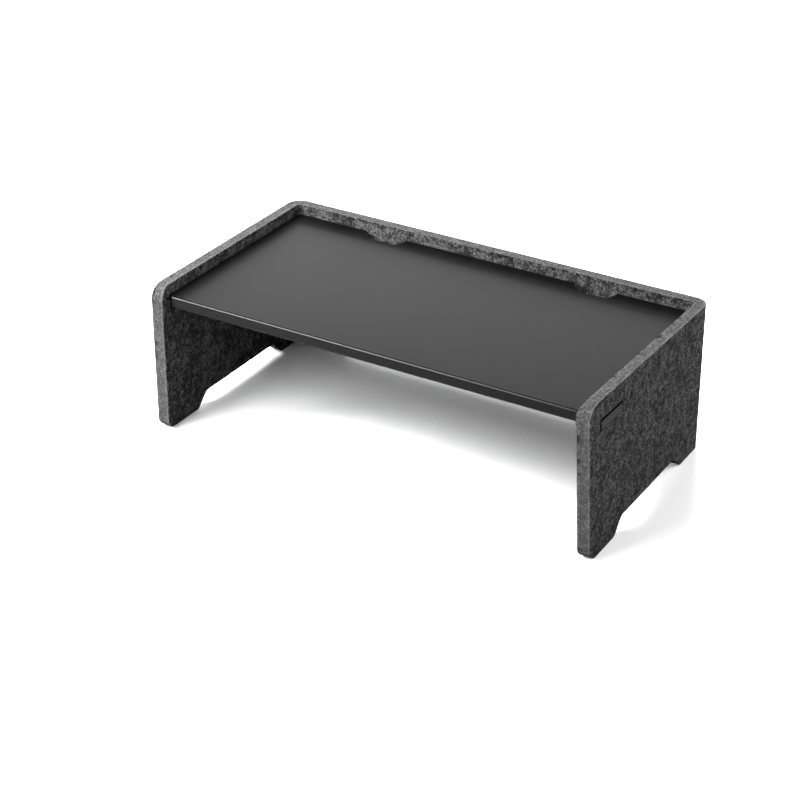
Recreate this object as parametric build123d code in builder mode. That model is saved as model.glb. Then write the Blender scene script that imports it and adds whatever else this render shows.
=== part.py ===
from build123d import *
import os

# Monitor riser stand: one felt board, folded at the two rear corners, wraps a bent steel shelf.
# Frame: origin on the floor under the middle, +X along the length, +Y to the back wall, +Z up.
# Every length is in millimetres.

os.makedirs("parts", exist_ok=True)

# Overall size of the stand
length = 490.0
depth = 260.0
height = 160.0

# Felt board and its folds
felt_thickness = 12.0
fold_inner_radius = 4.0
front_top_radius = 15.0
front_foot_radius = 12.0

# Feet and the low arches between them
side_foot = 53.0
rear_foot = 60.0
arch_height = 15.0
arch_ramp = 16.0
arch_radius = 7.0

# Steel shelf
sheet = 1.5
bend_radius = 2.4
rim_height = 10.0
front_setback = 8.0
shelf_gap = 0.5
front_flange = 12.0
front_lip = 10.0
screw_flange = 20.0
corner_relief = 6.5

# Cable notches in the rear edge of the shelf
notch_width = 54.0
notch_depth = 18.0
notch_slant = 19.0
notch_draft = 3.0
notch_corner_radius = 5.0
notch_pitch = 246.0
notch_offset = 0.5

# Blank plate on a foam pad, in a pocket in the outer face of the right side
pocket_length = 46.0
pocket_height = 12.0
pocket_depth = 3.0
pocket_corner_radius = 1.2
pocket_from_front = 20.0
pocket_from_top = 20.0
pad_thickness = 0.8
plate_thickness = 2.0
plate_gap = 0.3
plate_front_reveal = 3.2
plate_top_reveal = 3.4
plate_corner_radius = 0.8

# Screws, M4 button heads, and the barbed inserts that they turn into
screw_radius = 1.95
screw_length = 8.0
screw_head_radius = 3.8
screw_head_height = 2.2
screw_head_round = 1.4
hex_across_flats = 2.5
hex_depth = 1.3
screw_hole_radius = 2.25
insert_bore_radius = 2.0
insert_root_radius = 2.8
insert_barb_radius = 3.2
insert_barb_length = 2.0
insert_barbs = 4
insert_rim_radius = 5.0
insert_rim = 1.0
side_screw_margin = 30.0
side_screws = 3

# Places that follow from the sizes above
inner_x = length / 2 - felt_thickness
inner_y = depth / 2 - felt_thickness
shelf_top = height - rim_height
shelf_x = inner_x - shelf_gap
shelf_front = -depth / 2 + front_setback
shelf_rear = inner_y - shelf_gap
shelf_depth = shelf_rear - shelf_front
shelf_mid_y = (shelf_rear + shelf_front) / 2
screw_z = shelf_top - (screw_flange + bend_radius) / 2
insert_length = insert_barb_length * insert_barbs
notch_starts = [notch_offset - notch_width / 2 + side * notch_pitch / 2 for side in (-1, 1)]


def arch_outline(span):
    # The opening between two feet, span wide at the floor, with rounded toes and shoulders.
    toe = span / 2
    shoulder = toe - arch_ramp
    end = toe + 2 * arch_radius
    with BuildSketch() as outline:
        with BuildLine():
            rim = FilletPolyline(
                (-end, 0), (-toe, 0), (-shoulder, arch_height), (shoulder, arch_height), (toe, 0), (end, 0),
                radius=arch_radius,
            )
            Polyline(rim @ 1, (end, -arch_height), (-end, -arch_height), rim @ 0)
        make_face()
    return outline.sketch


def bent_strip(reach, drop, lip=0):
    # Section of a flange: flat for reach, bent down by drop, and back in by lip if it has one.
    path = [(-reach, 0), (0, 0), (0, -drop)]
    if lip:
        path.append((-lip, -drop))
    with BuildSketch() as section:
        with BuildLine():
            FilletPolyline(*path, radius=bend_radius)
            offset(amount=sheet, side=Side.RIGHT)
        make_face()
    return section.sketch


def edge_plane(x, y, outward):
    # The plane of a flange's section at an edge of the shelf: x axis outward, y axis up.
    return Plane(origin=(x, y, shelf_top), x_dir=outward, z_dir=Vector(*outward).cross(Vector(0, 0, 1)))


def spread(count, low, high):
    # Evenly spaced places from low to high, both ends included.
    return [low + (high - low) * step / (count - 1) for step in range(count)]


# A fixing is a plane on the felt's inner face, with its z axis pointing away from the felt.
flange_front = shelf_front + corner_relief
flange_rear = shelf_rear - corner_relief
fixings = {}
for side, side_name in ((-1, "left"), (1, "right")):
    places = spread(side_screws, flange_front + side_screw_margin, flange_rear - side_screw_margin)
    for number, y in enumerate(places, start=1):
        fixings[f"{side_name}_{number}"] = Plane(origin=(side * inner_x, y, screw_z), z_dir=(-side, 0, 0))

# The rear flange is in three stretches, cut apart by the notches, with one fixing in each.
flange_end_x = shelf_x - corner_relief
rear_stretches = [
    (-flange_end_x, notch_starts[0]),
    (notch_starts[0] + notch_width, notch_starts[1]),
    (notch_starts[1] + notch_width, flange_end_x),
]
for number, (start, end) in enumerate(rear_stretches, start=1):
    fixings[f"rear_{number}"] = Plane(origin=((start + end) / 2, inner_y, screw_z), z_dir=(0, -1, 0))

# The pocket's plane: on the right outer face, x axis to the rear, z axis outward.
pocket_y = -depth / 2 + pocket_from_front + pocket_length / 2
pocket_z = height - pocket_from_top - pocket_height / 2
pocket_plane = Plane(origin=(length / 2, pocket_y, pocket_z), x_dir=(0, 1, 0), z_dir=(1, 0, 0))

# Felt body: the folded board, its arches, its rounded front corners, insert holes and plate pocket
with BuildPart() as felt_body:
    with BuildSketch():
        with BuildLine():
            FilletPolyline(
                (-length / 2, -depth / 2), (-length / 2, depth / 2),
                (length / 2, depth / 2), (length / 2, -depth / 2),
                radius=fold_inner_radius + felt_thickness,
            )
            offset(amount=felt_thickness, side=Side.RIGHT)
        make_face()
    extrude(amount=height)
    for level, radius in ((-1, front_top_radius), (0, front_foot_radius)):
        front_edges = felt_body.edges().filter_by(Axis.X).group_by(Axis.Y)[0]
        fillet(front_edges.group_by(Axis.Z)[level], radius=radius)
    with BuildSketch(Plane.YZ):
        add(arch_outline(depth - 2 * side_foot))
    extrude(amount=length / 2, both=True, mode=Mode.SUBTRACT)
    with BuildSketch(Plane.XZ.offset(-depth / 2)):
        add(arch_outline(length - 2 * rear_foot))
    extrude(amount=felt_thickness, mode=Mode.SUBTRACT)
    with Locations(*[plane.offset(shelf_gap).location for plane in fixings.values()]):
        CounterBoreHole(
            radius=insert_barb_radius,
            counter_bore_radius=insert_rim_radius,
            counter_bore_depth=insert_rim,
            depth=insert_rim + insert_length,
        )
    with BuildSketch(pocket_plane):
        RectangleRounded(pocket_length, pocket_height, pocket_corner_radius)
    extrude(amount=-pocket_depth, mode=Mode.SUBTRACT)
felt_body.part.label = "felt_body"
export_step(felt_body.part, "parts/felt_body.step")

# Shelf: a flat plate with a short lipped flange in front and taller screw flanges on its other edges
with BuildPart() as shelf:
    with BuildSketch(Plane.XY.offset(shelf_top)):
        with Locations((0, shelf_mid_y)):
            RectangleRounded(
                2 * (shelf_x - bend_radius), shelf_depth - 2 * bend_radius, corner_relief - bend_radius
            )
    extrude(amount=-sheet)
    with BuildSketch(edge_plane(0, shelf_front, (0, -1, 0))):
        add(bent_strip(2 * bend_radius, front_flange, front_lip))
    extrude(amount=flange_end_x, both=True)
    with BuildSketch(edge_plane(0, shelf_rear, (0, 1, 0))):
        add(bent_strip(2 * bend_radius, screw_flange))
    extrude(amount=flange_end_x, both=True)
    for side in (-1, 1):
        with BuildSketch(edge_plane(side * shelf_x, shelf_mid_y, (side, 0, 0))):
            add(bent_strip(2 * bend_radius, screw_flange))
        extrude(amount=shelf_depth / 2 - corner_relief, both=True)
    with BuildSketch(Plane.XY.offset(shelf_top)):
        for start in notch_starts:
            end = start + notch_width
            with BuildLine():
                FilletPolyline(
                    (start, inner_y), (start + notch_slant, inner_y - notch_depth),
                    (end - notch_draft, inner_y - notch_depth), (end, inner_y),
                    radius=notch_corner_radius,
                )
                Line((end, inner_y), (start, inner_y))
            make_face()
    extrude(amount=-screw_flange, mode=Mode.SUBTRACT)
    with Locations(*[plane.offset(shelf_gap + sheet).location for plane in fixings.values()]):
        Hole(radius=screw_hole_radius, depth=sheet)
shelf.part.label = "shelf"
export_step(shelf.part, "parts/shelf.step")

# Foam pad over the whole floor of the pocket
with BuildPart() as plate_pad:
    with BuildSketch(pocket_plane.offset(-pocket_depth)):
        RectangleRounded(pocket_length - 2 * plate_gap, pocket_height - 2 * plate_gap, pocket_corner_radius)
    extrude(amount=pad_thickness)
plate_pad.part.label = "plate_pad"
export_step(plate_pad.part, "parts/plate_pad.step")

# Blank plate stuck to the pad, close to the pocket's rear and bottom, with a reveal in front and above
with BuildPart() as blank_plate:
    with BuildSketch(pocket_plane.offset(pad_thickness - pocket_depth)):
        with Locations(((plate_front_reveal - plate_gap) / 2, (plate_gap - plate_top_reveal) / 2)):
            RectangleRounded(
                pocket_length - plate_front_reveal - plate_gap,
                pocket_height - plate_top_reveal - plate_gap,
                plate_corner_radius,
            )
    extrude(amount=plate_thickness)
blank_plate.part.label = "blank_plate"
export_step(blank_plate.part, "parts/blank_plate.step")

# One barbed insert and one screw for each fixing
for name, plane in fixings.items():
    with BuildPart(plane.offset(shelf_gap)) as insert:
        Cylinder(insert_rim_radius, insert_rim, align=(Align.CENTER, Align.CENTER, Align.MAX))
        for barb in range(insert_barbs):
            with Locations((0, 0, -insert_rim - barb * insert_barb_length)):
                Cone(
                    insert_root_radius, insert_barb_radius, insert_barb_length,
                    align=(Align.CENTER, Align.CENTER, Align.MAX),
                )
        Hole(radius=insert_bore_radius, depth=insert_rim + insert_length)
    insert.part.label = f"insert_{name}"
    export_step(insert.part, f"parts/insert_{name}.step")

    with BuildPart(plane.offset(shelf_gap + sheet)) as screw:
        Cylinder(screw_head_radius, screw_head_height, align=(Align.CENTER, Align.CENTER, Align.MIN))
        Cylinder(screw_radius, screw_length, align=(Align.CENTER, Align.CENTER, Align.MAX))
        crown = screw.edges().filter_by(GeomType.CIRCLE).sort_by(Axis(plane.origin, plane.z_dir))[-1]
        fillet(crown, radius=screw_head_round)
        with BuildSketch(plane.offset(shelf_gap + sheet + screw_head_height)):
            RegularPolygon(radius=hex_across_flats / 2, side_count=6, major_radius=False)
        extrude(amount=-hex_depth, mode=Mode.SUBTRACT)
    screw.part.label = f"screw_{name}"
    export_step(screw.part, f"parts/screw_{name}.step")
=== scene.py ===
import math

import bmesh
import bpy
from mathutils import Matrix, Vector, noise


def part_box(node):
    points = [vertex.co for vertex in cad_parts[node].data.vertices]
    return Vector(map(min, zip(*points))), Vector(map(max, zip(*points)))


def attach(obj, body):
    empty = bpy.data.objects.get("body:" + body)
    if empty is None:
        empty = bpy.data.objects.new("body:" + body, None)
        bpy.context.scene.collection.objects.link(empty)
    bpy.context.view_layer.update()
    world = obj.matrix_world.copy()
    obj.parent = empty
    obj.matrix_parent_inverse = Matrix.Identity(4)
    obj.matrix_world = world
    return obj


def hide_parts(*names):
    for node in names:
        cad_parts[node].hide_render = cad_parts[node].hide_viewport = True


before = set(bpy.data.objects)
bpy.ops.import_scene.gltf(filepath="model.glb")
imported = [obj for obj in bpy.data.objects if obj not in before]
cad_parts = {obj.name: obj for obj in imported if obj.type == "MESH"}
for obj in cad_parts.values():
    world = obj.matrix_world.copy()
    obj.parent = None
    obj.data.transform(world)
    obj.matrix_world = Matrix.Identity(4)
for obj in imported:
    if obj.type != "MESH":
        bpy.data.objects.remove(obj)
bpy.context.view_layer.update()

# Monitor riser stand: a folded felt board around a bent, powder coated steel shelf.
# Metres and the frame's own axes throughout: +X along the stand, +Y to its back wall, +Z up.

sharpAngle = math.radians(60)    # edges sharper than this are rims


def newPiece(name, bm):
    mesh = bpy.data.meshes.new(name)
    bm.normal_update()
    bm.to_mesh(mesh)
    bm.free()
    piece = bpy.data.objects.new(name, mesh)
    bpy.context.scene.collection.objects.link(piece)
    return piece


def settle(piece):
    # Makes what the modifiers give the piece's own mesh.
    shown = piece.evaluated_get(bpy.context.evaluated_depsgraph_get())
    mesh = bpy.data.meshes.new_from_object(shown)
    piece.modifiers.clear()
    old, piece.data = piece.data, mesh
    name = old.name
    bpy.data.meshes.remove(old)
    mesh.name = name


def keepFacesFlat(piece):
    # Smooth shading that still shows the big faces as flat.
    flatFaces = piece.modifiers.new("flatFaces", "WEIGHTED_NORMAL")
    flatFaces.keep_sharp = True


def cutAway(piece, cutters):
    # Takes every cutter out of the piece.
    for cutter in cutters:
        modifier = piece.modifiers.new("cut", "BOOLEAN")
        modifier.operation = "DIFFERENCE"
        modifier.object = cutter
    settle(piece)
    for cutter in cutters:
        bpy.data.objects.remove(cutter)


def outlineFace(bm, corners):
    # One flat face from its corners, each (x, y, z, radius); the corners with a radius are rounded.
    verts = [bm.verts.new(corner[:3]) for corner in corners]
    bm.faces.new(verts)
    rounded = [(vert, corner[3]) for vert, corner in zip(verts, corners) if corner[3]]
    for vert, radius in rounded:
        before, after = [edge.other_vert(vert).co - vert.co for edge in vert.link_edges]
        tangent = radius / math.tan(before.angle(after) / 2)
        bmesh.ops.bevel(
            bm, geom=[vert], offset=tangent, offset_type="OFFSET", affect="VERTICES",
            segments=8, profile=0.5, material=-1, clamp_overlap=True,
        )


def thicken(bm, direction):
    # Extrudes the one flat face into a board.
    grown = bmesh.ops.extrude_face_region(bm, geom=bm.faces[:])
    verts = [item for item in grown["geom"] if isinstance(item, bmesh.types.BMVert)]
    bmesh.ops.translate(bm, verts=verts, vec=direction)
    bmesh.ops.recalc_face_normals(bm, faces=bm.faces[:])


def sharpEdges(bm):
    return [edge for edge in bm.edges if edge.calc_face_angle(0) > sharpAngle]


def roundEdges(bm, edges, radius, segments, clamp=False):
    bmesh.ops.bevel(
        bm, geom=edges, offset=radius, offset_type="OFFSET", affect="EDGES",
        segments=segments, profile=0.5, material=-1, clamp_overlap=clamp,
    )


def sliceAcross(bm, axis, places):
    # Cuts the mesh across an axis at each place, without taking anything away.
    normal = Vector((0, 0, 0))
    normal[axis] = 1
    for place in places:
        bmesh.ops.bisect_plane(
            bm, geom=bm.verts[:] + bm.edges[:] + bm.faces[:], dist=1e-6,
            plane_co=normal * place, plane_no=normal,
        )


def steps(low, high, step):
    # Even places between low and high, about a step apart, without the ends.
    count = max(1, round((high - low) / step))
    return [low + (high - low) * k / count for k in range(1, count)]


board = {
    "thickness": 0.012,
    "foldInner": 0.004,
    "foldCells": 12,
    "frontTop": 0.015,
    "frontFoot": 0.012,
    "sideFoot": 0.053,
    "rearFoot": 0.060,
    "archHeight": 0.015,
    "archRamp": 0.016,
    "archRound": 0.007,
    "rimRound": 0.0013,
    "faceFray": 0.35,         # loose fibres on the faces, against 1 on the cut edges
    "faceNormal": 0.98,       # where less of a point's normal looks out of a face, it is on a cut edge
    "cell": 0.0028,
    "dents": 0.00016,         # depth and size of the soft dents all over
    "dentSize": 0.006,
    "swell": 0.13,            # how much thicker the board is at its two front edges
    "swellRun": 0.012,
    "tuck": 0.17,             # the same, added beside the shelf's front corner on the right
    "tuckHeight": 0.149,
    "tuckReach": 0.020,
    "splay": 0.045,           # how far the right side leans out in front, for each metre below splayFrom
    "splayFrom": 0.128,
    "leanIn": 0.0004,         # the most that its top leans in, against the shelf
    "seatGap": 0.0001,
    "seatDepth": 0.0006,
    "boreRound": 0.0033,
    "boreDepth": 0.0088,
    "pocketGap": 0.0003,
    "pocketRound": 0.0012,
}

feltLow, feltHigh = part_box("felt_body")
foldOuter = board["foldInner"] + board["thickness"]
foldLength = math.pi / 2 * (board["foldInner"] + board["thickness"] / 2)
foldStart = feltHigh.x - foldOuter
sideStart = foldStart + foldLength
boardEnd = sideStart + feltHigh.y - foldOuter - feltLow.y


def foldPlace(flat):
    # Where a point of the flat board lands: x runs along it, y is 0 on its outer face, z is up.
    along = abs(flat.x)
    near = min(max((along - boardEnd) / board["swellRun"] + 1, 0), 1)
    swell = board["swell"]
    if flat.x > 0:
        swell += board["tuck"] * max(1 - abs(flat.z - board["tuckHeight"]) / board["tuckReach"], 0)
    inward = flat.y * (1 + swell * near * near * (3 - 2 * near))
    if along < foldStart:
        x, y = along, feltHigh.y + flat.y
    elif along < sideStart:
        turn = (along - foldStart) / foldLength * math.pi / 2
        radius = foldOuter + flat.y
        x = foldStart + radius * math.sin(turn)
        y = feltHigh.y - foldOuter + radius * math.cos(turn)
    else:
        x, y = feltHigh.x + inward, feltHigh.y - foldOuter - (along - sideStart)
        if flat.x > 0:
            reach = (along - sideStart) / (boardEnd - sideStart)
            x += reach * max(board["splay"] * (board["splayFrom"] - flat.z), -board["leanIn"])
    return Vector((math.copysign(x, flat.x), y, flat.z))


def flatPlace(place):
    # Where a point of the folded board was on the flat one; it holds for the three straight walls.
    if place.y > feltHigh.y - board["thickness"] - 0.001 and abs(place.x) < foldStart:
        return Vector((place.x, place.y - feltHigh.y, place.z))
    along = sideStart + feltHigh.y - foldOuter - place.y
    return Vector((math.copysign(along, place.x), abs(place.x) - feltHigh.x, place.z))


def archCorners(centre, span):
    # The opening between two feet, from right to left.
    half = span / 2
    shoulder = half - board["archRamp"]
    return [
        (centre + half, 0, 0, board["archRound"]),
        (centre + shoulder, 0, board["archHeight"], board["archRound"]),
        (centre - shoulder, 0, board["archHeight"], board["archRound"]),
        (centre - half, 0, 0, board["archRound"]),
    ]


def drill(name, place, radius, depth, direction):
    # A round cutter that goes depth into the flat board from place.
    bm = bmesh.new()
    bmesh.ops.create_cone(
        bm, cap_ends=True, segments=32, radius1=radius, radius2=radius, depth=2 * depth,
    )
    turned = Vector((0, 0, 1)).rotation_difference(direction).to_matrix().to_4x4()
    bmesh.ops.transform(bm, verts=bm.verts[:], matrix=Matrix.Translation(place) @ turned)
    return newPiece(name, bm)


def boardCorners():
    # The whole board laid flat: its four outer corners, then the arches.
    sideSpan = feltHigh.y - feltLow.y - 2 * board["sideFoot"]
    sideMiddle = boardEnd + feltLow.y
    rearSpan = feltHigh.x - feltLow.x - 2 * board["rearFoot"]
    corners = [
        (-boardEnd, 0, 0, board["frontFoot"]),
        (-boardEnd, 0, feltHigh.z, board["frontTop"]),
        (boardEnd, 0, feltHigh.z, board["frontTop"]),
        (boardEnd, 0, 0, board["frontFoot"]),
    ]
    for centre, span in ((sideMiddle, sideSpan), (0, rearSpan), (-sideMiddle, sideSpan)):
        corners += archCorners(centre, span)
    return corners


def seatCutters():
    # A shallow seat and a bore for every insert in the frame.
    cutters = []
    inward = Vector((0, 1, 0))
    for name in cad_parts:
        if name.startswith("insert_"):
            low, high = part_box(name)
            seat = flatPlace((low + high) / 2)
            seat.y = -board["thickness"]
            seatRadius = (high.z - low.z) / 2 + board["seatGap"]
            cutters.append(drill("seat", seat, seatRadius, board["seatDepth"], inward))
            cutters.append(drill("bore", seat, board["boreRound"], board["boreDepth"], inward))
    return cutters


def pocketCutter():
    # A rounded block in the flat board's outer face, where the frame has the plate's pad.
    low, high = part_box("plate_pad")
    depth = feltHigh.x - low.x
    gap = board["pocketGap"]
    size = (high.y - low.y + 2 * gap, 2 * depth, high.z - low.z + 2 * gap)
    middle = Vector((feltHigh.x, (low.y + high.y) / 2, (low.z + high.z) / 2))
    bm = bmesh.new()
    bmesh.ops.create_cube(bm, size=1)
    bmesh.ops.scale(bm, verts=bm.verts[:], vec=size)
    bmesh.ops.translate(bm, verts=bm.verts[:], vec=flatPlace(middle))
    upright = [edge for edge in bm.edges if abs(edge.verts[0].co.y - edge.verts[1].co.y) > depth]
    roundEdges(bm, upright, board["pocketRound"], 4)
    return newPiece("pocket", bm)


def divideBoard(bm):
    # Cells small enough to fold, and to carry the felt's unevenness.
    count = board["foldCells"]
    folds = [side * (foldStart + foldLength * k / count) for side in (-1, 1) for k in range(count + 1)]
    sliceAcross(bm, 0, folds)
    for low, high in ((-boardEnd, -sideStart), (-foldStart, foldStart), (sideStart, boardEnd)):
        sliceAcross(bm, 0, steps(low, high, board["cell"]))
    sliceAcross(bm, 2, steps(0, feltHigh.z, board["cell"]))
    sliceAcross(bm, 1, steps(-board["thickness"] + board["rimRound"], -board["rimRound"], board["cell"]))
    bmesh.ops.remove_doubles(bm, verts=bm.verts[:], dist=2e-6)
    bm.normal_update()


def roughen(bm):
    # Keeps each point's flat place and how frayed it is for the materials, then dents the surface.
    flatLayer = bm.verts.layers.float_vector.new("board")
    frayLayer = bm.verts.layers.float.new("fray")
    for vert in bm.verts:
        vert[flatLayer] = vert.co
        vert[frayLayer] = 1.0 if abs(vert.normal.y) < board["faceNormal"] else board["faceFray"]
        spot = vert.co / board["dentSize"]
        dent = noise.noise(spot) + 0.5 * noise.noise(spot * 2.3)
        vert.co += vert.normal * dent * board["dents"]
        vert.co.z = max(vert.co.z, 0)


def makeFeltBoard():
    bm = bmesh.new()
    outlineFace(bm, boardCorners())
    thicken(bm, (0, -board["thickness"], 0))
    piece = newPiece("felt_board", bm)
    cutAway(piece, seatCutters() + [pocketCutter()])

    # Soft rims on both faces, the dents, and last the two folds.
    bm = bmesh.new()
    bm.from_mesh(piece.data)
    faces = (0, -board["thickness"])
    rims = [edge for edge in sharpEdges(bm)
            if all(min(abs(vert.co.y - face) for face in faces) < 1e-6 for vert in edge.verts)]
    roundEdges(bm, rims, board["rimRound"], 4, clamp=True)
    divideBoard(bm)
    roughen(bm)
    for vert in bm.verts:
        vert.co = foldPlace(vert.co)
    bmesh.ops.recalc_face_normals(bm, faces=bm.faces[:])
    for face in bm.faces:
        face.smooth = True
    bm.to_mesh(piece.data)
    bm.free()
    return piece


feltBoard = makeFeltBoard()
print("felt board:", len(feltBoard.data.vertices), "vertices", len(feltBoard.data.polygons), "faces")


shelfSheet = {
    "sheet": 0.0015,
    "bend": 0.0024,           # outer radius of every bend
    "frontFlange": 0.012,
    "frontLip": 0.010,
    "screwFlange": 0.020,
    "relief": 0.0065,         # how far each flange stops short of the corner
    "flangeRound": 0.002,
    "notchWidth": 0.054,
    "notchDepth": 0.018,
    "notchSlant": 0.019,
    "notchDraft": 0.003,
    "notchRound": 0.005,
    "notchPitch": 0.246,
    "notchOffset": 0.0005,
    "slantDown": 0.00095,     # how far each end of a notch still runs in, down the screw flange
    "draftDown": 0.0003,
    "wallGap": 0.0005,
    "edgeRound": 0.00028,
    "screwHole": 0.00225,
    "holeReach": 0.006,
    "bendSteps": 8,
    "cell": 0.02,
}

# Places on the sheet before it is bent: the flat plate, the flanges' ends, and how far they run out.
shelfLow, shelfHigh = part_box("shelf")
bendLength = math.pi / 2 * (shelfSheet["bend"] - shelfSheet["sheet"] / 2)
plateX = shelfHigh.x - shelfSheet["bend"]
plateFront, plateRear = shelfLow.y + shelfSheet["bend"], shelfHigh.y - shelfSheet["bend"]
endX = shelfHigh.x - shelfSheet["relief"]
endFront, endRear = shelfLow.y + shelfSheet["relief"], shelfHigh.y - shelfSheet["relief"]
screwRun = bendLength + shelfSheet["screwFlange"] - shelfSheet["bend"]
lipStart = plateFront - bendLength - (shelfSheet["frontFlange"] - 2 * shelfSheet["bend"])
frontEnd = lipStart - bendLength - (shelfSheet["frontLip"] - shelfSheet["bend"])


def bendDown(bm, axis, start, outward):
    # Bends what lies past start, along an axis, down through a right angle.
    top = shelfHigh.z
    for vert in bm.verts:
        past = (vert.co[axis] - start) * outward
        if past <= 0:
            continue
        radius = shelfSheet["bend"] - (top - vert.co.z)
        turn = min(past / bendLength, 1) * math.pi / 2
        straight = max(past - bendLength, 0)
        vert.co[axis] = start + outward * (radius * math.sin(turn))
        vert.co.z = top - shelfSheet["bend"] + radius * math.cos(turn) - straight


def sideCorners(sign):
    # The end of the front flange, a corner, the side flange, and the next corner.
    top = shelfHigh.z
    flangeRound = shelfSheet["flangeRound"]
    cornerRound = (shelfSheet["relief"] - shelfSheet["bend"]) * 0.98    # just short of meeting the flanges
    return [
        (sign * endX, frontEnd, top, flangeRound),
        (sign * endX, plateFront, top, 0),
        (sign * plateX, plateFront, top, cornerRound),
        (sign * plateX, endFront, top, 0),
        (sign * (plateX + screwRun), endFront, top, flangeRound),
        (sign * (plateX + screwRun), endRear, top, flangeRound),
        (sign * plateX, endRear, top, 0),
        (sign * plateX, plateRear, top, cornerRound),
        (sign * endX, plateRear, top, 0),
        (sign * endX, plateRear + screwRun, top, flangeRound),
    ]


def notchCorners(way):
    # One cable notch, from its steep end on the right to its slanted end on the left.
    top = shelfHigh.z
    wall = shelfHigh.y + shelfSheet["wallGap"]
    floorY = wall - shelfSheet["notchDepth"]
    rise = (wall - plateRear) / shelfSheet["notchDepth"]
    draft, slant = shelfSheet["notchDraft"], shelfSheet["notchSlant"]
    start = shelfSheet["notchOffset"] - shelfSheet["notchWidth"] / 2 + way * shelfSheet["notchPitch"] / 2
    end = start + shelfSheet["notchWidth"]
    return [
        (end - shelfSheet["draftDown"], plateRear + screwRun, top, shelfSheet["flangeRound"]),
        (end - draft * rise, plateRear, top, 0),
        (end - draft, floorY, top, shelfSheet["notchRound"]),
        (start + slant, floorY, top, shelfSheet["notchRound"]),
        (start + slant * rise, plateRear, top, 0),
        (start + shelfSheet["slantDown"], plateRear + screwRun, top, shelfSheet["flangeRound"]),
    ]


def screwHoles():
    # A cutter through the flange for every screw in the frame.
    holes = []
    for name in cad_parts:
        if name.startswith("screw_"):
            low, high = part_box(name)
            size = high - low
            direction = Vector((1, 0, 0)) if size.x > size.y else Vector((0, 1, 0))
            middle = (low + high) / 2
            holes.append(drill("hole", middle, shelfSheet["screwHole"], shelfSheet["holeReach"], direction))
    return holes


def makeShelf():
    bm = bmesh.new()
    outlineFace(bm, sideCorners(1) + notchCorners(1) + notchCorners(-1) + sideCorners(-1)[::-1])
    thicken(bm, (0, 0, -shelfSheet["sheet"]))
    roundEdges(bm, sharpEdges(bm), shelfSheet["edgeRound"], 3, clamp=True)

    # Cuts where it bends, and others to keep its faces small.
    count = shelfSheet["bendSteps"]
    bends = [bendLength * k / count for k in range(count + 1)]
    sliceAcross(bm, 1, [plateFront - past for past in bends] + [lipStart - past for past in bends])
    sliceAcross(bm, 1, [plateRear + past for past in bends])
    for sign in (-1, 1):
        sliceAcross(bm, 0, [sign * (plateX + past) for past in bends])
    sliceAcross(bm, 0, steps(-endX, endX, shelfSheet["cell"]))
    sliceAcross(bm, 1, steps(plateFront, plateRear, shelfSheet["cell"]))

    # The lip is bent first, while the front flange is still flat.
    bendDown(bm, 1, lipStart, -1)
    bendDown(bm, 1, plateFront, -1)
    bendDown(bm, 1, plateRear, 1)
    bendDown(bm, 0, plateX, 1)
    bendDown(bm, 0, -plateX, -1)
    bmesh.ops.recalc_face_normals(bm, faces=bm.faces[:])
    piece = newPiece("shelf_sheet", bm)
    cutAway(piece, screwHoles())
    piece.data.shade_smooth()
    keepFacesFlat(piece)
    return piece


shelfPiece = makeShelf()
print("shelf:", len(shelfPiece.data.vertices), "vertices", len(shelfPiece.data.polygons), "faces")


fuzz = {
    "perArea": 42000,         # fibres on each square metre of cut edge
    "length": 0.0024,
    "thickness": 0.000036,
    "curl": 0.0007,
    "tilt": (0.5, 1.35),      # radians away from straight up, least and most
    "stretch": (0.4, 1.3),
    "seed": 7,
    "shade": 420,             # scale of the change from dark to pale fibres, and the tones
    "tones": ((0.40, 0.006), (0.50, 0.022), (0.62, 0.15)),
}


def makeFibre():
    # One curled hair, standing on the origin, with three sides.
    bm = bmesh.new()
    length, radius = fuzz["length"], fuzz["thickness"] / 2
    bmesh.ops.create_cone(bm, cap_ends=True, segments=3, radius1=radius, radius2=radius * 0.6, depth=length)
    bmesh.ops.translate(bm, verts=bm.verts[:], vec=(0, 0, length / 2))
    sliceAcross(bm, 2, steps(0, length, length / 3))
    for vert in bm.verts:
        rise = vert.co.z / length
        vert.co.x += fuzz["curl"] * rise * rise
        vert.co.y += fuzz["curl"] * 0.5 * math.sin(rise * 4)
    return newPiece("fibre", bm)


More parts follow.
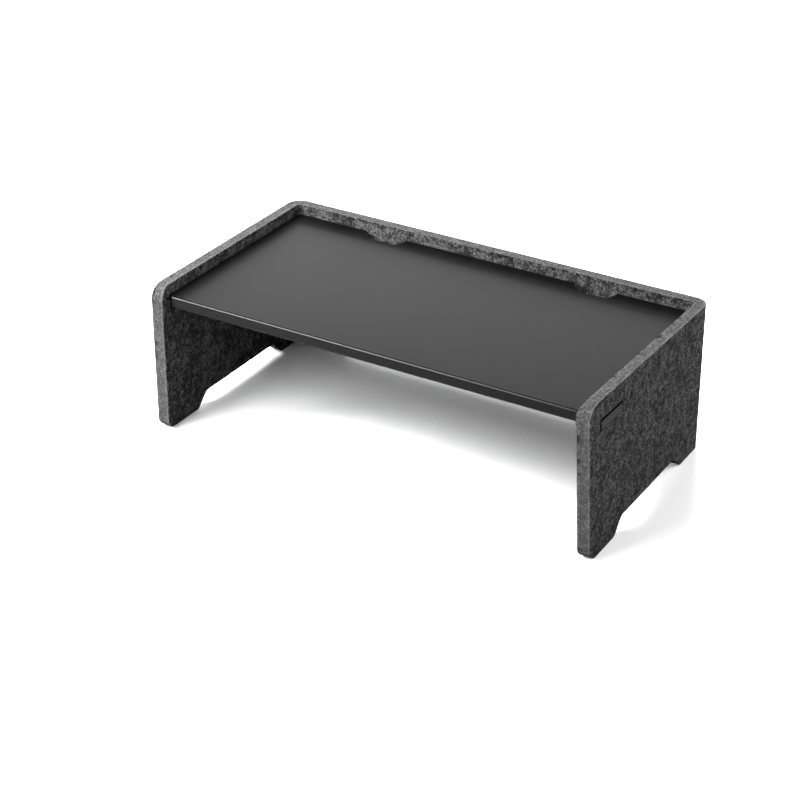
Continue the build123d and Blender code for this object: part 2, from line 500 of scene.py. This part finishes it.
def makeFuzz():
    # Loose fibres scattered over the board by geometry nodes, most of them along its edges.
    fibre = makeFibre()
    tree = bpy.data.node_groups.new("scatterFibres", "GeometryNodeTree")
    for way in ("INPUT", "OUTPUT"):
        tree.interface.new_socket("Geometry", in_out=way, socket_type="NodeSocketGeometry")
    link = tree.links.new
    entry = tree.nodes.new("NodeGroupInput")
    leave = tree.nodes.new("NodeGroupOutput")
    fray = tree.nodes.new("GeometryNodeInputNamedAttribute")
    fray.data_type = "FLOAT"
    fray.inputs["Name"].default_value = "fray"
    density = tree.nodes.new("ShaderNodeMath")
    density.operation = "MULTIPLY"
    density.inputs[1].default_value = fuzz["perArea"]
    link(fray.outputs["Attribute"], density.inputs[0])
    scatter = tree.nodes.new("GeometryNodeDistributePointsOnFaces")
    scatter.inputs["Seed"].default_value = fuzz["seed"]
    link(entry.outputs[0], scatter.inputs["Mesh"])
    link(density.outputs[0], scatter.inputs["Density"])
    turn = tree.nodes.new("FunctionNodeRandomValue")
    turn.data_type = "FLOAT_VECTOR"
    turn.inputs[0].default_value = (fuzz["tilt"][0], 0, 0)
    turn.inputs[1].default_value = (fuzz["tilt"][1], 0, 2 * math.pi)
    lean = tree.nodes.new("FunctionNodeRotateRotation")
    lean.rotation_space = "LOCAL"
    link(scatter.outputs["Rotation"], lean.inputs["Rotation"])
    link(turn.outputs[0], lean.inputs["Rotate By"])
    size = tree.nodes.new("FunctionNodeRandomValue")
    size.data_type = "FLOAT"
    size.inputs[2].default_value, size.inputs[3].default_value = fuzz["stretch"]
    source = tree.nodes.new("GeometryNodeObjectInfo")
    source.inputs["Object"].default_value = fibre
    place = tree.nodes.new("GeometryNodeInstanceOnPoints")
    link(scatter.outputs["Points"], place.inputs["Points"])
    link(source.outputs["Geometry"], place.inputs["Instance"])
    link(lean.outputs["Rotation"], place.inputs["Rotation"])
    link(size.outputs[1], place.inputs["Scale"])
    real = tree.nodes.new("GeometryNodeRealizeInstances")
    link(place.outputs["Instances"], real.inputs["Geometry"])
    link(real.outputs["Geometry"], leave.inputs[0])

    piece = bpy.data.objects.new("felt_fuzz", feltBoard.data.copy())
    bpy.context.scene.collection.objects.link(piece)
    piece.modifiers.new("scatter", "NODES").node_group = tree
    settle(piece)
    piece.data.name = "felt_fuzz"
    bpy.data.objects.remove(fibre)
    bpy.data.node_groups.remove(tree)
    return piece


fuzzPiece = makeFuzz()
print("loose fibres:", len(fuzzPiece.data.polygons), "faces")


plate = {
    "plateRound": 0.0008,
    "padRound": 0.0012,
    "rimRound": 0.00022,
}


def makeTag(node, name, cornerRound):
    # A flat rounded block in the place of a node, on the splayed side of the board.
    low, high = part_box(node)
    bm = bmesh.new()
    bmesh.ops.create_cube(bm, size=1)
    bmesh.ops.scale(bm, verts=bm.verts[:], vec=high - low)
    bmesh.ops.translate(bm, verts=bm.verts[:], vec=(low + high) / 2)
    through = [edge for edge in bm.edges if abs(edge.verts[0].co.x - edge.verts[1].co.x) > 1e-4]
    roundEdges(bm, through, cornerRound, 6)
    outer = [edge for edge in bm.edges if all(abs(vert.co.x - high.x) < 1e-6 for vert in edge.verts)]
    roundEdges(bm, outer, plate["rimRound"], 3)
    for vert in bm.verts:
        vert.co = foldPlace(flatPlace(vert.co))
    for face in bm.faces:
        face.smooth = True
    piece = newPiece(name, bm)
    keepFacesFlat(piece)
    return piece


platePiece = makeTag("blank_plate", "side_plate", plate["plateRound"])
padPiece = makeTag("plate_pad", "side_plate_pad", plate["padRound"])
print("plate made")


def newMaterial(name):
    material = bpy.data.materials.new(name)
    material.use_nodes = True
    tree = material.node_tree
    return material, tree, tree.nodes["Principled BSDF"]


def addNode(tree, kind, **settings):
    node = tree.nodes.new(kind)
    for key, value in settings.items():
        if key in node.inputs:
            node.inputs[key].default_value = value
        else:
            setattr(node, key, value)
    return node


def ramp(tree, source, stops):
    node = tree.nodes.new("ShaderNodeValToRGB")
    elements = node.color_ramp.elements
    while len(elements) > 1:
        elements.remove(elements[-1])
    for index, (place, tone) in enumerate(stops):
        element = elements[0] if index == 0 else elements.new(place)
        element.position = place
        element.color = (tone, tone, tone, 1) if isinstance(tone, (int, float)) else (*tone, 1)
    tree.links.new(source, node.inputs["Fac"])
    return node.outputs["Color"]


def remap(tree, source, low, high, toLow=0.0, toHigh=1.0, smooth=False):
    node = addNode(tree, "ShaderNodeMapRange")
    node.interpolation_type = "SMOOTHSTEP" if smooth else "LINEAR"
    for key, value in (("From Min", low), ("From Max", high), ("To Min", toLow), ("To Max", toHigh)):
        node.inputs[key].default_value = value
    tree.links.new(source, node.inputs["Value"])
    return node.outputs["Result"]


def combine(tree, operation, first, second):
    node = addNode(tree, "ShaderNodeMath", operation=operation)
    for slot, value in enumerate((first, second)):
        if isinstance(value, (int, float)):
            node.inputs[slot].default_value = value
        else:
            tree.links.new(value, node.inputs[slot])
    return node.outputs["Value"]


def addScaled(tree, source, share, rest):
    # The source times its share, added to the rest.
    node = addNode(tree, "ShaderNodeMath", operation="MULTIPLY_ADD")
    tree.links.new(source, node.inputs[0])
    node.inputs[1].default_value = share
    tree.links.new(rest, node.inputs[2])
    return node.outputs["Value"]


def addBump(tree, shader, height, strength, distance):
    bump = addNode(tree, "ShaderNodeBump", Strength=strength, Distance=distance)
    tree.links.new(height, bump.inputs["Height"])
    tree.links.new(bump.outputs["Normal"], shader.inputs["Normal"])


def noiseOn(tree, vector, scale, detail, roughness):
    node = addNode(tree, "ShaderNodeTexNoise", Scale=scale, Detail=detail, Roughness=roughness)
    tree.links.new(vector, node.inputs["Vector"])
    return node.outputs["Fac"]


def mixTones(tree, factor, first, second):
    node = addNode(tree, "ShaderNodeMix", data_type="RGBA")
    for slot, value in ((0, factor), (6, first), (7, second)):
        if isinstance(value, (int, float)):
            node.inputs[slot].default_value = value if slot == 0 else (value, value, value, 1)
        else:
            tree.links.new(value, node.inputs[slot])
    return node.outputs[2]


felt = {
    "fleck": 0.0023,          # sizes of the pale flecks, of the clumps and of the patches
    "clump": 0.0070,
    "patch": 0.022,
    "shares": (0.55, 0.30, 0.15),           # what each of the three gives to the mottle
    "hair": (0.00034, 0.00034, 0.0046),     # one tuft of fibres, its width and length
    "hairTurns": (0.1, 0.75, -0.65, 1.35, -1.25),
    "hairWave": (160, 0.0018),              # scale and reach of the wave that bends the tufts
    "hairFrom": 0.58,
    "hairFull": 0.74,
    "hairStops": (0.43, 0.58),              # on the mottle, between which the tufts come out
    "hairOnDark": 0.12,       # how much they show before that
    "hairHeight": 0.25,
    "dark": 0.0010,           # tones of the ground, and where on the mottle each one is reached
    "middle": 0.0050,
    "light": 0.040,
    "groundStops": (0.445, 0.50, 0.56),
    "hairTone": 0.105,
    "layer": (0.0026, 0.0008, 0.0026),      # flakes in the cut edge, thin through the board
    "layerShare": 0.45,
    "cutDark": 0.024,
    "cutMiddle": 0.042,
    "cutLight": 0.096,
    "cutStops": (0.38, 0.50, 0.64),
    "cutRagged": 0.0030,      # how far the cut edge's border wanders
    "cutFade": (0.0001, 0.0011),            # from each face, where the cut edge's tone takes over
    "rimHighlightTone": 0.11,          # painted highlight: the broken pale line along both borders, partly the fused border's own paler fibres and partly light caught on the rounded rim
    "rimHighlightFade": (0.0028, 0.0014),
    "rimHighlightStops": (0.42, 0.62),
    "rimHighlightShown": 0.6,
    "bump": (0.8, 0.0012),
}


def sized(tree, source, size, turn=0.0):
    # Coordinates in which a cell of a pattern is size across, turned in the board's own plane.
    node = addNode(tree, "ShaderNodeMapping", vector_type="TEXTURE", Scale=size, Rotation=(0, turn, 0))
    tree.links.new(source, node.inputs["Vector"])
    return node.outputs["Vector"]


def waved(tree, flat):
    # The board's coordinates with a small wave in them, so that no tuft is straight.
    scale, reach = felt["hairWave"]
    wave = addNode(tree, "ShaderNodeTexNoise", Scale=scale)
    tree.links.new(flat, wave.inputs["Vector"])
    bent = addNode(tree, "ShaderNodeVectorMath", operation="MULTIPLY_ADD")
    tree.links.new(wave.outputs["Color"], bent.inputs[0])
    bent.inputs[1].default_value = (reach, 0, reach)
    tree.links.new(flat, bent.inputs[2])
    return bent.outputs["Vector"]


def feltTufts(tree, flat, mottle):
    # Fine hairs in a few directions, thinner where the ground is dark.
    way = waved(tree, flat)
    tufts = None
    for turn in felt["hairTurns"]:
        layer = noiseOn(tree, sized(tree, way, felt["hair"], turn), 1, 0, 0.5)
        layer = remap(tree, layer, felt["hairFrom"], felt["hairFull"], smooth=True)
        tufts = layer if tufts is None else combine(tree, "MAXIMUM", tufts, layer)
    shown = remap(tree, mottle, *felt["hairStops"], felt["hairOnDark"], 1.0)
    return combine(tree, "MULTIPLY", tufts, shown)


def feltCutEdge(tree, flat, flecks):
    # The cut edge's tone with a painted highlight along its borders, and how far a point belongs to it
    # rather than to a face.
    layers = noiseOn(tree, sized(tree, flat, felt["layer"]), 1, 3, 0.7)
    share = felt["layerShare"]
    grain = addScaled(tree, layers, share, combine(tree, "MULTIPLY", flecks, 1 - share))
    tones = (felt["cutDark"], felt["cutMiddle"], felt["cutLight"])
    cutTone = ramp(tree, grain, list(zip(felt["cutStops"], tones)))
    depth = addNode(tree, "ShaderNodeSeparateXYZ")
    tree.links.new(flat, depth.inputs[0])
    half = board["thickness"] / 2
    fromMiddle = combine(tree, "ABSOLUTE", combine(tree, "ADD", depth.outputs["Y"], half), 0)
    wander = felt["cutRagged"]
    ragged = addScaled(tree, flecks, wander, combine(tree, "ADD", fromMiddle, -wander / 2))
    cut = remap(tree, ragged, *(half - depthIn for depthIn in felt["cutFade"]), smooth=True)
    # The pale line along both borders is partly the fused border's own paler fibres and partly a painted
    # highlight where the rounded rim catches light.
    rimHighlightLine = remap(tree, ragged, *(half - depthIn for depthIn in felt["rimHighlightFade"]), smooth=True)
    speckle = remap(tree, layers, *felt["rimHighlightStops"], 0.0, felt["rimHighlightShown"])
    edgeToneWithRimHighlight = mixTones(tree, combine(tree, "MULTIPLY", rimHighlightLine, speckle), cutTone, felt["rimHighlightTone"])
    return edgeToneWithRimHighlight, cut


def makeFeltMaterial():
    material, tree, shader = newMaterial("pressedFelt")
    flat = addNode(tree, "ShaderNodeAttribute", attribute_name="board").outputs["Vector"]
    fleckShare, clumpShare, patchShare = felt["shares"]
    flecks = noiseOn(tree, flat, 1 / felt["fleck"], 3, 0.6)
    clumps = noiseOn(tree, flat, 1 / felt["clump"], 2, 0.5)
    patches = noiseOn(tree, flat, 1 / felt["patch"], 2, 0.5)
    mottle = addScaled(tree, flecks, fleckShare, combine(tree, "MULTIPLY", clumps, clumpShare))
    mottle = addScaled(tree, patches, patchShare, mottle)
    tufts = feltTufts(tree, flat, mottle)
    tones = (felt["dark"], felt["middle"], felt["light"])
    groundTone = ramp(tree, mottle, list(zip(felt["groundStops"], tones)))
    faceTone = mixTones(tree, tufts, groundTone, felt["hairTone"])
    edgeToneWithRimHighlight, cut = feltCutEdge(tree, flat, flecks)
    tree.links.new(mixTones(tree, cut, faceTone, edgeToneWithRimHighlight), shader.inputs["Base Color"])
    addBump(tree, shader, addScaled(tree, tufts, felt["hairHeight"], mottle), *felt["bump"])
    shader.inputs["Roughness"].default_value = 0.95
    shader.inputs["Specular IOR Level"].default_value = 0.02
    shader.inputs["Sheen Weight"].default_value = 0.01
    shader.inputs["Sheen Roughness"].default_value = 0.5
    return material


def grainOn(tree, scale, detail, roughness):
    # Noise on the piece's own coordinates.
    place = addNode(tree, "ShaderNodeTexCoord").outputs["Object"]
    return noiseOn(tree, place, scale, detail, roughness)


def varyRoughness(tree, shader, source, middle, spread):
    rough = remap(tree, source, 0.3, 0.7, middle - spread, middle + spread)
    tree.links.new(rough, shader.inputs["Roughness"])


def makeFibreMaterial():
    material, tree, shader = newMaterial("looseFibre")
    shade = grainOn(tree, fuzz["shade"], 1, 0.5)
    tree.links.new(ramp(tree, shade, fuzz["tones"]), shader.inputs["Base Color"])
    shader.inputs["Roughness"].default_value = 0.7
    shader.inputs["Specular IOR Level"].default_value = 0.2
    return material


coat = {
    "tone": 0.002,
    "roughness": 0.34,
    "spread": 0.03,
    "ior": 1.2,
    "peel": 900,              # scale of the fine texture of the powder, and of its faint clouds
    "cloud": 14,
    "bump": (0.12, 0.0001),
}


def makeCoatMaterial():
    material, tree, shader = newMaterial("blackPowderCoat")
    peel = grainOn(tree, coat["peel"], 2, 0.5)
    cloud = grainOn(tree, coat["cloud"], 2, 0.5)
    tone = ramp(tree, cloud, [(0.3, coat["tone"] * 0.9), (0.7, coat["tone"] * 1.15)])
    tree.links.new(tone, shader.inputs["Base Color"])
    varyRoughness(tree, shader, peel, coat["roughness"], coat["spread"])
    addBump(tree, shader, peel, *coat["bump"])
    shader.inputs["IOR"].default_value = coat["ior"]
    return material


def makeTagMaterial(name, dark, light, grainSize, roughness):
    material, tree, shader = newMaterial(name)
    spark = grainOn(tree, 1 / grainSize, 2, 0.6)
    tree.links.new(ramp(tree, spark, [(0.3, dark), (0.7, light)]), shader.inputs["Base Color"])
    varyRoughness(tree, shader, spark, roughness, 0.06)
    addBump(tree, shader, spark, 0.3, grainSize / 5)
    shader.inputs["Specular IOR Level"].default_value = 0.2
    return material


def makeMetalMaterial(name, dark, light, roughness):
    material, tree, shader = newMaterial(name)
    wear = grainOn(tree, 700, 3, 0.6)
    tree.links.new(ramp(tree, wear, [(0.35, dark), (0.65, light)]), shader.inputs["Base Color"])
    varyRoughness(tree, shader, wear, roughness, 0.08)
    addBump(tree, shader, wear, 0.15, 0.0001)
    shader.inputs["Metallic"].default_value = 1.0
    return material


feltMaterial = makeFeltMaterial()
coatMaterial = makeCoatMaterial()
plateMaterial = makeTagMaterial("mattePlastic", 0.011, 0.018, 0.0006, 0.6)
# The pad's near-black tone is partly its own black and partly painted shade for the gap along the plate's
# top and front.
foamPaintedShadeMaterial = makeTagMaterial("blackFoam", 0.0006, 0.0015, 0.0008, 0.9)
fibreMaterial = makeFibreMaterial()
screwMaterial = makeMetalMaterial("blackOxideSteel", (0.03, 0.03, 0.032), (0.075, 0.073, 0.072), 0.38)
brassMaterial = makeMetalMaterial("brass", (0.60, 0.40, 0.16), (0.80, 0.58, 0.27), 0.32)


def dress(piece, material):
    piece.data.materials.clear()
    piece.data.materials.append(material)


dress(feltBoard, feltMaterial)
dress(shelfPiece, coatMaterial)
dress(platePiece, plateMaterial)
dress(padPiece, foamPaintedShadeMaterial)
dress(fuzzPiece, fibreMaterial)
nodeMaterials = {
    "felt_body": feltMaterial,
    "shelf": coatMaterial,
    "blank_plate": plateMaterial,
    "plate_pad": foamPaintedShadeMaterial,
}
for name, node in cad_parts.items():
    fastening = screwMaterial if name.startswith("screw") else brassMaterial
    dress(node, nodeMaterials.get(name, fastening))

for piece, node, slot in (
    (feltBoard, "felt_body", "felt"),
    (shelfPiece, "shelf", "black_steel"),
    (platePiece, "blank_plate", "plate"),
    (padPiece, "plate_pad", "plate_foam"),
):
    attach(piece, "root")
    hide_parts(node)
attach(fuzzPiece, "root")
print("materials made")


floor = {
    "size": 14.0,
    "tone": 0.93,
    "toneSpread": 0.003,
    "bounce": 0.42,           # what it gives back to the object, so that the underside stays dark
    "paleFrom": 0.9,          # distances between which it grows bright by itself
    "paleTo": 2.6,
}


def makeFloor():
    bm = bmesh.new()
    bmesh.ops.create_grid(bm, x_segments=2, y_segments=2, size=floor["size"] / 2)
    piece = newPiece("floor", bm)
    material, tree, shader = newMaterial("paleFloor")
    place = addNode(tree, "ShaderNodeTexCoord").outputs["Object"]
    cloud = noiseOn(tree, place, 3, 2, 0.5)
    low, high = floor["tone"] - floor["toneSpread"], floor["tone"] + floor["toneSpread"]
    tone = ramp(tree, cloud, [(0.3, low), (0.7, high)])
    seen = addNode(tree, "ShaderNodeLightPath").outputs["Is Camera Ray"]
    tree.links.new(mixTones(tree, seen, floor["bounce"], tone), shader.inputs["Base Color"])

    # It stays pale out to the horizon, and lets the camera look up through it from underneath.
    away = addNode(tree, "ShaderNodeVectorMath", operation="LENGTH")
    tree.links.new(place, away.inputs[0])
    pale = remap(tree, away.outputs["Value"], floor["paleFrom"], floor["paleTo"], smooth=True)
    shader.inputs["Emission Color"].default_value = (1, 1, 1, 1)
    tree.links.new(combine(tree, "MULTIPLY", pale, seen), shader.inputs["Emission Strength"])
    under = addNode(tree, "ShaderNodeNewGeometry").outputs["Backfacing"]
    clear = addNode(tree, "ShaderNodeBsdfTransparent")
    blend = addNode(tree, "ShaderNodeMixShader")
    tree.links.new(under, blend.inputs[0])
    tree.links.new(shader.outputs[0], blend.inputs[1])
    tree.links.new(clear.outputs[0], blend.inputs[2])
    tree.links.new(blend.outputs[0], tree.nodes["Material Output"].inputs["Surface"])
    shader.inputs["Roughness"].default_value = 0.9
    shader.inputs["Specular IOR Level"].default_value = 0.0
    dress(piece, material)


makeFloor()

# Soft boxes, in metres and watts. The "gloss" ones are reflector cards, which only show in the coat's shine,
# and the "matte" ones light the object without showing in it.
lights = {
    "keyLeft": {"place": (-0.95, -0.55, 0.85), "size": (0.5, 0.5), "power": 56, "lights": "all"},
    "keyClose": {"place": (-0.50, -0.55, 0.80), "size": (0.35, 0.35), "power": 10, "lights": "all"},
    "front": {"place": (-0.35, -0.90, 0.70), "size": (0.6, 0.6), "power": 15, "lights": "all"},
    "frontRight": {"place": (1.10, -0.70, 0.90), "size": (0.8, 0.8), "power": 6.5, "lights": "all"},
    "right": {"place": (1.50, 0.10, 0.70), "size": (0.8, 0.8), "power": 10, "lights": "matte"},
    "overhead": {"place": (-0.10, 0.10, 1.50), "size": (1.2, 1.2), "power": 4, "lights": "matte"},
    "backLeft": {"place": (-0.90, 1.50, 1.00), "size": (1.2, 1.2), "power": 125, "lights": "matte"},
    "backRight": {"place": (1.00, 1.00, 0.80), "size": (0.8, 0.8), "power": 17, "lights": "matte"},
    "lowCard": {"place": (-1.66, 2.74, 0.75), "size": (3.6, 1.0), "power": 60, "lights": "gloss"},
    "highCard": {"place": (-1.66, 2.74, 1.82), "size": (3.6, 1.1), "power": 12, "lights": "gloss"},
    "bendCard": {"place": (-0.62, -0.66, 1.07), "size": (0.6, 0.25), "power": 45, "lights": "gloss"},
}
skyStrength = 0.06
lightAim = Vector((0, 0, 0.08))


def makeLights():
    for name, light in lights.items():
        lamp = bpy.data.lights.new(name, "AREA")
        lamp.shape = "RECTANGLE"
        lamp.size, lamp.size_y = light["size"]
        lamp.energy = light["power"]
        holder = bpy.data.objects.new(name, lamp)
        holder.location = light["place"]
        aim = lightAim - holder.location
        holder.rotation_euler = aim.to_track_quat("-Z", "Y").to_euler()
        holder.visible_diffuse = light["lights"] != "gloss"
        holder.visible_glossy = light["lights"] != "matte"
        bpy.context.scene.collection.objects.link(holder)
    world = bpy.data.worlds.new("studio")
    world.use_nodes = True
    tree = world.node_tree
    background = tree.nodes["Background"]
    background.inputs["Color"].default_value = (1, 1, 1, 1)
    seen = tree.nodes.new("ShaderNodeLightPath").outputs["Is Camera Ray"]
    tree.links.new(remap(tree, seen, 0, 1, skyStrength, 1.0), background.inputs["Strength"])
    bpy.context.scene.world = world


makeLights()

view = {
    "azimuth": 31.27,         # degrees from straight in front, towards the right
    "elevation": 28.57,
    "distance": 2.1148,
    "aim": (0.0130, -0.0771, 0.0800),
    "lens": 97.5,
}


def makeCamera():
    turn, tilt = math.radians(view["azimuth"]), math.radians(view["elevation"])
    back = Vector((math.sin(turn) * math.cos(tilt), -math.cos(turn) * math.cos(tilt), math.sin(tilt)))
    camera = bpy.data.cameras.new("camera")
    camera.lens = view["lens"]
    camera.sensor_width = 36
    camera.clip_end = 100
    holder = bpy.data.objects.new("camera", camera)
    holder.location = Vector(view["aim"]) + back * view["distance"]
    holder.rotation_euler = back.to_track_quat("Z", "Y").to_euler()
    bpy.context.scene.collection.objects.link(holder)
    bpy.context.scene.camera = holder


makeCamera()
bpy.context.scene.view_settings.view_transform = "Standard"
print("stage set")
